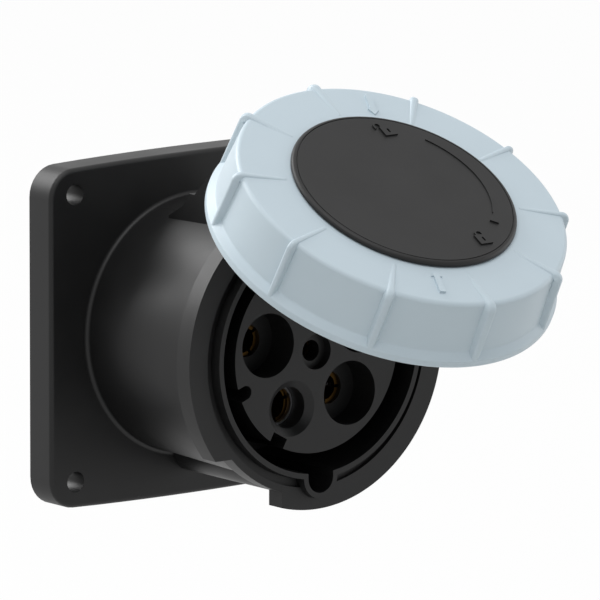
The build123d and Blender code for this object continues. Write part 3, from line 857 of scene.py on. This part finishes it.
    def bracket(self) -> list[Piece]:
        """Makes the ramped pad and the two ears of the hinge.

        Returns:
            The pad and the ears.
        """
        outer = self.ear_sides[1]
        start, top = self.pad_ramp[0][0], self.pad_ramp[-1][1]
        end, bottom = self.pad_end
        ramp = [(start, bottom, 0), *((place, height, 0) for place, height in self.pad_ramp),
                (end, top, self.pad_round), (end, bottom, 0)]
        made = [prism("pad", SIDE, rounded(ramp), -outer - APART, outer + APART)]
        back, front, foot = self.ear_foot
        ear = rounded([(back, foot, 0), (*self.ear_peak, self.ear_round), (front, foot, 0)],
                      facets=14)
        for low, high in ((-outer, -self.ear_sides[0]), (self.ear_sides[0], outer)):
            made.append(prism("ear", SIDE, ear, low, high))
        return made

    def cuts(self) -> list[Piece]:
        """Makes the solids that are cut out: bores, keyway, seal groove and pin bore.

        Returns:
            The solids, in the order in which they are cut.
        """
        back, front, throat = self.ledge
        end = self.collar_front + self.lip_height + 2 * PAST
        bore = [(0, -PAST), (self.rear_bore, -PAST), (self.rear_bore, back), (throat, back),
                (throat, front), (self.shroud_radius, front), (self.shroud_radius, end), (0, end)]
        w, start = self.keyway_half_width, -self.inside
        slot = [(w, start), *half_round(0.0, -self.key_centre, w, -1), (-w, start)]
        inner, outer, depth = self.groove
        groove = [(inner, -PAST), (outer, -PAST), (outer, depth), (inner, depth)]
        reach = self.pin_reach
        return [spun("bore", FRONT, bore, self.steps), prism("keyway", FRONT, slot, front, end),
                rod("pin_bore", SIDE, self.pin, self.pin_bore, -reach, reach, self.hole_sides),
                spun("groove", FRONT, groove, self.steps)]

    def build(self) -> None:
        """Builds the housing from its forms and dresses it."""
        shell = self.flange()
        combine(shell, [self.barrel(), self.bump(), self.collar(), *self.bracket()], Join.ADD)
        combine(shell, [self.channel()], Join.CUT)
        combine(shell, [self.lip()], Join.ADD)
        combine(shell, self.cuts(), Join.CUT)
        soften(shell, self.edge_round)
        shade(shell)
        finish_piece(shell, Body.SOCKET, self.finishes.black, ("housing",))


@dataclass
class Insert:
    """The contact carrier: a round black insert with its contact holes and key notches."""

    finishes: Finishes
    radius: float = 31.85
    back: float = 25.0
    flange: Pair = (37.0, 29.0)
    face: float = 74.8
    circle: float = 19.4
    line_clocks: tuple[float, ...] = (282.0, 354.0, 66.0, 138.0)
    earth_clock: float = 210.0
    recess: Pair = (10.1, 11.0)
    web: float = 1.5
    entry: float = 5.15
    pocket: float = 5.5
    earth_pocket: float = 6.5
    earth_funnel: Pair = (8.85, 2.0)
    pilot: Triple = (5.6, 3.0, 3.3)
    pilot_pocket: float = 4.5
    pilot_web: float = 5.3
    round_notch: Triple = (250.5, 4.4, 27.2)
    square_notch: Triple = (209.6, 5.8, 28.6)
    notch_reach: float = 12.0
    edge_round: float = 0.45
    steps: int = 192

    def body(self) -> Piece:
        """Makes the solid insert with its rear flange.

        Returns:
            The insert without its holes.
        """
        rim, step = self.flange
        corners = [(0, self.back, 0), (rim, self.back, 0), (rim, step, 0),
                   (self.radius, step, 0), (self.radius, self.face, 0), (0, self.face, 0)]
        return spun("contact_carrier", FRONT, rounded(corners), self.steps)

    def holes(self) -> list[Piece]:
        """Makes the solids of the contact holes.

        Returns:
            The solids to cut out.
        """
        made = []
        deep, front = self.back - PAST, self.face + PAST
        for angle in self.line_clocks:
            floor = self.face - self.recess[1]
            profile = [(0, deep), (self.pocket, deep), (self.pocket, floor - self.web),
                       (self.entry, floor - self.web), (self.entry, floor),
                       (self.recess[0], floor), (self.recess[0], front), (0, front)]
            made.append(spun("line_hole", self.axis(angle), profile, self.steps // 2))
        mouth, depth = self.earth_funnel
        slope = (mouth - self.earth_pocket) / depth
        profile = [(0, deep), (self.earth_pocket, deep), (self.earth_pocket, self.face - depth),
                   (mouth + slope, front), (0, front)]
        made.append(spun("earth_hole", self.axis(self.earth_clock), profile, self.steps // 2))
        wide, depth, narrow = self.pilot
        floor = self.face - depth
        profile = [(0, deep), (self.pilot_pocket, deep),
                   (self.pilot_pocket, floor - self.pilot_web), (narrow, floor - self.pilot_web),
                   (narrow, floor), (wide, floor), (wide, front), (0, front)]
        made.append(spun("pilot_hole", FRONT, profile, self.steps // 3))
        return made

    def axis(self, angle: float) -> Datum:
        """Gives the front datum moved to the contact at a clock angle."""
        return Datum(FRONT.clock(angle, self.circle, 0), FRONT.right, FRONT.up, FRONT.out)

    def notches(self) -> list[Piece]:
        """Makes the solids of the two key notches in the rim.

        Returns:
            The solids to cut out.
        """
        low, high = self.flange[1], self.face + PAST
        angle, width, bottom = self.round_notch
        half, top = width / 2, bottom + self.notch_reach
        outline = [(half, top), *half_round(0.0, bottom + half, half, -1, steps=18), (-half, top)]
        made = [prism("round_notch", FRONT.turned(angle), outline, low, high)]
        angle, width, bottom = self.square_notch
        half, top = width / 2, bottom + self.notch_reach
        outline = [(half, top), (half, bottom), (-half, bottom), (-half, top)]
        made.append(prism("square_notch", FRONT.turned(angle), outline, low, high))
        return made

    def build(self) -> None:
        """Builds the insert and dresses it."""
        insert = self.body()
        combine(insert, [*self.holes(), *self.notches()], Join.CUT)
        soften(insert, self.edge_round, segments=3)
        shade(insert)
        finish_piece(insert, Body.SOCKET, self.finishes.black,
                     ("contact_carrier",))


@dataclass
class CoverRing:
    """The grey bayonet ring with its grip ribs, inner lugs and raised arrows."""

    finishes: Finishes
    steps: int = 240
    top: float = -1.3
    inner_top: float = -0.6
    under: float = -5.36
    hole: float = 33.0
    top_radius: float = 53.6
    wall_radius: float = 54.8
    lip_radius: float = 56.9
    inner_radius: float = 52.0
    foot: float = -23.7
    lip_top: float = -21.3
    ledge_top: float = -18.9
    # Rounding of the section's corners, from the hole over the top and back
    rounds: tuple[float, ...] = (0.3, 1.5, 1.2, 0.8, 0.6, 0.4, 1.5, 0.3)
    rib_count: int = 10
    rib_clock: float = 2.3
    rib_section: Triple = (1.25, 2.3, 2.7)
    rib_start_share: float = 0.6
    rib_start: float = 38.5
    rib_start_level: float = -0.62
    rib_radius: float = 56.1
    rib_rise: float = 0.75
    rib_round: float = 0.8
    rib_corner: float = 2.75
    rib_steps: int = 8
    rib_end: float = 0.05
    lug_clocks: Pair = (32.65, 212.65)
    lug_angle: float = 25.0
    lug_radius: float = 46.7
    lug_level: float = -19.32
    lug_round: float = 0.4
    lug_lap: float = 0.5
    lug_rise: float = 0.3
    arrows: tuple[Pair, ...] = ((20.7, 39.6), (199.1, 38.8))
    arrow_length: float = 10.0
    arrow_shaft: float = 1.0
    arrow_head: float = 1.8
    arrow_head_length: float = 2.5
    arrow_height: float = 0.6
    arrow_sink: float = 0.5

    def body(self) -> Piece:
        """Makes the turned form of the ring.

        Returns:
            The ring without ribs, lugs and arrows.
        """
        section = [(self.hole, self.inner_top), (self.top_radius, self.top),
                   (self.wall_radius, self.ledge_top), (self.lip_radius, self.lip_top),
                   (self.lip_radius, self.foot), (self.inner_radius, self.foot),
                   (self.inner_radius, self.under), (self.hole, self.under)]
        corners = [(*place, size) for place, size in zip(section, self.rounds)]
        return spun("bayonet_ring", LID, rounded(corners), self.steps)

    def rib(self, angle: float) -> Piece:
        """Makes one rib: its section runs over the top, round the corner and down to the foot.

        Args:
            angle: Clock angle of the rib.

        Returns:
            The rib, with sloping flanks and narrower where it starts.
        """
        turned = LID.turned(angle)
        crest, root, depth = self.rib_section
        level = self.top + self.rib_rise
        middle = self.rib_radius - self.rib_corner, level - self.rib_corner
        start = self.rib_start_level
        section = [(-root, start - depth), (-crest, start), (crest, start), (root, start - depth)]
        made = trace("rib", [turned.at(x * self.rib_start_share, self.rib_start, out)
                             for x, out in section])
        bpy.ops.mesh.edge_face_add()
        run = turned.up * (middle[0] - self.rib_start) + turned.out * (level - start)
        bpy.ops.mesh.extrude_region_move(TRANSFORM_OT_translate={"value": run * MM})
        basis = Matrix((turned.right, turned.up, turned.out)).transposed()
        bpy.ops.transform.resize(value=(1 / self.rib_start_share, 1, 1),
                                 center_override=turned.at(0, middle[0], level),
                                 orient_type="GLOBAL", orient_matrix=basis)
        bpy.ops.mesh.spin(steps=self.rib_steps, angle=radians(90), axis=turned.right,
                          center=turned.at(0, *middle), use_auto_merge=False)
        run = (turned.up * (self.lip_radius + APART - self.rib_radius)
               + turned.out * (self.foot + self.rib_end - middle[1]))
        bpy.ops.mesh.extrude_region_move(TRANSFORM_OT_translate={"value": run * MM})
        close_edit(made)
        soften(made, self.rib_round, angle=50.0, segments=4)
        return made

    def lug(self, angle: float) -> Piece:
        """Makes one inner lug of the bayonet.

        Args:
            angle: Clock angle of its middle.

        Returns:
            The lug.
        """
        inner, outer = self.lug_radius, self.inner_radius + self.lug_lap
        low = self.foot + self.lug_rise
        corners = [(inner, self.lug_level, self.lug_round), (outer, self.lug_level, 0),
                   (outer, low, 0), (inner, low, self.lug_round)]
        return spun("lug", LID, rounded(corners, facets=4), self.steps // 10,
                    angle - self.lug_angle / 2, self.lug_angle)

    def arrow(self, angle: float, tip: float) -> Piece:
        """Makes one raised arrow that points to the lid's centre.

        Args:
            angle: Clock angle of the arrow.
            tip: Radius of its tip.

        Returns:
            The arrow.
        """
        neck, end = tip + self.arrow_head_length, tip + self.arrow_length
        s, h = self.arrow_shaft, self.arrow_head
        outline = [(0, tip), (h, neck), (s, neck), (s, end), (-s, end), (-s, neck), (-h, neck)]
        middle = (self.top + self.inner_top) / 2
        return prism("arrow", LID.turned(angle), outline, self.top - self.arrow_sink,
                     middle + self.arrow_height)

    def build(self) -> None:
        """Builds the ring and dresses it."""
        ring = self.body()
        ribs = [self.rib(self.rib_clock + 360 / self.rib_count * k) for k in range(self.rib_count)]
        lugs = [self.lug(angle) for angle in self.lug_clocks]
        combine(ring, ribs + lugs, Join.ADD)
        combine(ring, [self.arrow(angle, tip) for angle, tip in self.arrows], Join.ADD)
        shade(ring)
        finish_piece(ring, Body.RING, self.finishes.grey, ("bayonet_ring",))


@dataclass
class LidCap:
    """The black disc of the lid, with its raised arc, tick and padlock signs."""

    finishes: Finishes
    radius: float = 36.6
    top: float = 1.2
    edge_round: float = 1.35
    line: Pair = (34.85, 0.3)
    line_steps: Triple = (0.1, 0.25, 0.35)
    line_rounds: Pair = (0.08, 0.05)
    rim: float = -0.35
    rim_round: float = 0.15
    neck_radius: float = 32.6
    neck: float = -5.62
    sign_shift: Pair = (-1.35, -1.3)
    relief: float = 0.5
    sign_sink: float = 0.3
    arc_share: float = 0.6
    arc_steps: int = 48
    arc_clocks: Pair = (46.5, 121.0)
    arc_radii: Pair = (32.0, 28.6)
    arc_width: float = 0.3
    tick: tuple[float, float, float, float] = (130.3, 28.0, 30.8, 0.3)
    open_lock: Pair = (10.5, 25.9)
    closed_lock: Pair = (10.8, -28.4)
    lock_width: float = 4.6
    lock_height: float = 4.3
    # Half the width of the keyhole, and its lower and upper end
    keyhole: Triple = (0.35, 1.2, 3.0)
    # Outer and inner radius of the shackle, and the length of its legs
    shackle: Triple = (1.45, 0.85, 0.9)
    shackle_lap: float = 0.2
    shackle_drop: float = 0.05
    open_shift: float = 0.3
    steps: int = 240

    def body(self) -> Piece:
        """Makes the disc with a fine line inside its rounded edge, and the neck below it.

        Returns:
            The disc without its signs.
        """
        ring, depth = self.line
        start, end, outside = (ring + step for step in self.line_steps)
        inner_round, outer_round = self.line_rounds
        corners = [(0, self.top, 0), (ring, self.top, inner_round), (start, self.top - depth, 0),
                   (end, self.top - depth, 0), (outside, self.top, outer_round),
                   (self.radius, self.top, self.edge_round), (self.radius, self.rim, self.rim_round),
                   (self.neck_radius, self.rim, 0), (self.neck_radius, self.neck, 0),
                   (0, self.neck, 0)]
        return spun("lid_cap", LID, rounded(corners, facets=8), self.steps)

    def signs_datum(self) -> Datum:
        """Gives the datum of the signs on the disc's face."""
        return Datum(LID.at(*self.sign_shift, self.top), LID.right, LID.up, LID.out)

    def arc_line(self) -> Piece:
        """Makes the thin raised arc that runs towards the tick.

        Returns:
            The arc.
        """
        first, last = self.arc_clocks
        start, end = self.arc_radii
        inner, outer = [], []
        for k in range(self.arc_steps + 1):
            angle = radians(first + (last - first) * k / self.arc_steps)
            radius = start + (end - start) * k / self.arc_steps
            inner.append((radius * sin(angle), radius * cos(angle)))
            radius += self.arc_width
            outer.append((radius * sin(angle), radius * cos(angle)))
        return prism("arc", self.signs_datum(), inner + outer[::-1], -self.sign_sink,
                     self.relief * self.arc_share)

    def padlock(self, corner: Pair, shut: bool) -> list[Piece]:
        """Makes a raised padlock sign.

        Args:
            corner: Lower left corner of the lock's body.
            shut: Whether the shackle is closed.

        Returns:
            The solids of the sign.
        """
        x, y = corner
        w, h = self.lock_width, self.lock_height
        face = self.signs_datum()
        body = prism("lock", face, [(x, y), (x, y + h), (x + w, y + h), (x + w, y)],
                     -self.sign_sink, self.relief)
        centre = x + w / 2
        half, low, high = self.keyhole
        hole = prism("keyhole", face, [(centre - half, y + low), (centre - half, y + high),
                                       (centre + half, y + high), (centre + half, y + low)],
                     -APART / 2, self.relief + PAST)
        combine(body, [hole], Join.CUT)
        middle = centre if shut else x - self.open_shift
        base = y + h - self.shackle_lap
        outer, inner, leg = self.shackle
        bow = half_round(middle, base + leg, outer, 1, steps=12)
        back = half_round(middle, base + leg, inner, 1, steps=12)[::-1]
        left = base if shut else base - self.open_shift
        outline = [(middle + outer, base), *bow, (middle - outer, left),
                   (middle - inner, left), *back, (middle + inner, base)]
        return [body, prism("shackle", face, outline, -self.sign_sink,
                            self.relief - self.shackle_drop)]

    def build(self) -> None:
        """Builds the disc and its signs and dresses it."""
        cap = self.body()
        angle, low, high, half = self.tick
        tick = prism("tick", self.signs_datum().turned(angle),
                     [(-half, low), (-half, high), (half, high), (half, low)], -self.sign_sink,
                     self.relief)
        signs = [self.arc_line(), tick, *self.padlock(self.open_lock, False),
                 *self.padlock(self.closed_lock, True)]
        combine(cap, signs, Join.ADD)
        shade(cap)
        finish_piece(cap, Body.LID, self.finishes.black, ("lid_cap",))


@dataclass
class EarthContact:
    """The earth sleeve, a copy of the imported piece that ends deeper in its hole."""

    finishes: Finishes
    front: float = 64.3
    reach: float = 12.0
    circle: float = Insert.circle
    clock: float = Insert.earth_clock
    cut_radius: float = 8.0

    def build(self) -> None:
        """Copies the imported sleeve, cuts its front back and dresses it."""
        node = frame["nodes"]["contact_earth"]
        mesh = node.data.copy()
        mesh.transform(node.matrix_world)
        sleeve = bpy.data.objects.new("earth_sleeve", mesh)
        bpy.context.scene.collection.objects.link(sleeve)
        edit(sleeve, "VERT")
        close_edit(sleeve)
        spot = (self.circle * sin(radians(self.clock)), self.circle * cos(radians(self.clock)))
        cut = rod("cut", FRONT, spot, self.cut_radius, self.front, self.front + self.reach)
        combine(sleeve, [cut], Join.CUT)
        shade(sleeve)
        finish_piece(sleeve, Body.SOCKET, self.finishes.brass, ("contact_earth",))


@dataclass
class CarriedNodes:
    """The CAD pieces whose shape is right, which only get their finish."""

    finishes: Finishes
    black: tuple[str, ...] = ("terminal_block", "lid_plate")
    brass: tuple[str, ...] = ("contact_neutral", "contact_line_1", "contact_line_2",
                              "contact_line_3", "contact_pilot")
    zinc: tuple[str, ...] = ("sleeve_springs", "terminal_screws", "pilot_screw",
                             "carrier_screws", "hinge_pin", "lid_screws")
    rubber: tuple[str, ...] = ("flange_seal", "lid_seal")

    def build(self) -> None:
        """Gives every carried node its finish."""
        groups = ((self.black, self.finishes.black), (self.brass, self.finishes.brass),
                  (self.zinc, self.finishes.zinc), (self.rubber, self.finishes.rubber))
        for names, material in groups:
            for name in names:
                node = frame["nodes"][name]
                node.data.materials.clear()
                node.data.materials.append(material)
                log.info("%s: %s", name, material.name)


@dataclass(frozen=True)
class Lamp:
    """A square soft light that looks at the part, with its sizes in metres."""

    name: str
    azimuth: float
    elevation: float
    distance: float
    side: float
    power: float

    def build(self, target: Vector) -> None:
        """Sets the lamp up on its stand.

        Args:
            target: The place that it is turned to.
        """
        light = bpy.data.lights.new(self.name, "AREA")
        light.shape = "SQUARE"
        light.size = self.side
        light.energy = self.power
        stand = bpy.data.objects.new(self.name, light)
        bpy.context.scene.collection.objects.link(stand)
        a, e = radians(self.azimuth), radians(self.elevation)
        away = Vector((sin(a) * cos(e), -cos(a) * cos(e), sin(e)))
        stand.location = target + away * self.distance
        stand.rotation_mode = "QUATERNION"
        stand.rotation_quaternion = (-away).to_track_quat("-Z", "Y")


@dataclass
class Studio:
    """Floor, soft lights, surroundings and the photograph's camera, with sizes in metres."""

    azimuth: float = -37.89
    elevation: float = 10.26
    focal_pixels: float = 15500.0
    distance: float = 4.8646
    shift_right: float = 0.04082
    shift_up: float = 0.00553
    floor_drop: float = 0.12
    floor_side: float = 12.0
    paper_colour: str = "#CFCFCD"
    paper_glow: float = 0.96
    room_colour: str = "#ECEEF0"
    room_level: float = 0.6
    sensor_mm: float = 36.0
    clip: Pair = (0.1, 30.0)
    target: Triple = (0.0, -0.06, 0.02)
    lamps: list[Lamp] = field(default_factory=lambda: [
        Lamp("top_box", -40.0, 66.0, 1.6, 1.5, 13.0),
        Lamp("back_box", -160.0, 33.0, 1.8, 1.2, 27.0),
        Lamp("right_box", 78.0, 8.0, 1.8, 1.2, 5.0)])

    def floor(self) -> None:
        """Lays the pale paper under the part."""
        clear_selection()
        low = cad_bounds[0].z - self.floor_drop
        bpy.ops.mesh.primitive_plane_add(size=self.floor_side, location=(0, 0, low))
        paper = bpy.context.object
        paper.name = "studio_floor"
        bpy.ops.object.transform_apply(location=True, rotation=False, scale=False)
        finish = StudioPaper("studio_paper", self.paper_colour, self.paper_glow)
        paper.data.materials.append(finish.make())

    def surroundings(self) -> None:
        """Lights the part evenly from all round, and shows white to the camera."""
        world = bpy.data.worlds.new("studio")
        bpy.context.scene.world = world
        world.use_nodes = True
        tree = world.node_tree
        tree.nodes.clear()
        soft = add_node(tree, "ShaderNodeBackground", {},
                        {"Color": linear(self.room_colour), "Strength": self.room_level})
        white = add_node(tree, "ShaderNodeBackground", {},
                         {"Color": linear("#FFFFFF"), "Strength": 1.0})
        mix = add_node(tree, "ShaderNodeMixShader", {},
                       {0: seen_ray(tree), 1: soft.outputs[0], 2: white.outputs[0]})
        add_node(tree, "ShaderNodeOutputWorld", {}, {"Surface": mix.outputs[0]})

    def camera(self) -> None:
        """Sets the camera up as it stood for the photograph."""
        a, e = radians(self.azimuth), radians(self.elevation)
        back = Vector((sin(a) * cos(e), -cos(a) * cos(e), sin(e)))
        right = Vector((cos(a), sin(a), 0))
        up = back.cross(right)
        data = bpy.data.cameras.new("photo_camera")
        data.sensor_width = self.sensor_mm
        data.lens = self.focal_pixels / PHOTO_SIDE * data.sensor_width
        data.clip_start, data.clip_end = self.clip
        camera = bpy.data.objects.new("photo_camera", data)
        bpy.context.scene.collection.objects.link(camera)
        camera.matrix_world = Matrix.Translation(
            back * self.distance + right * self.shift_right + up * self.shift_up
        ) @ Matrix((right, up, back)).transposed().to_4x4()
        bpy.context.scene.camera = camera

    def build(self) -> None:
        """Builds the studio."""
        self.floor()
        self.surroundings()
        for lamp in self.lamps:
            lamp.build(Vector(self.target))
        self.camera()
        bpy.context.scene.view_settings.view_transform = "Standard"


def main() -> None:
    """Builds the studio and every piece of the socket in order."""
    logging.basicConfig(level=logging.INFO, format="%(name)s: %(message)s")
    finishes = Finishes.make()
    Studio().build()
    for part in (CarriedNodes(finishes), Housing(finishes), Insert(finishes),
                 EarthContact(finishes), CoverRing(finishes), LidCap(finishes)):
        part.build()
    clear_selection()


if __name__ == "__main__":
    main()
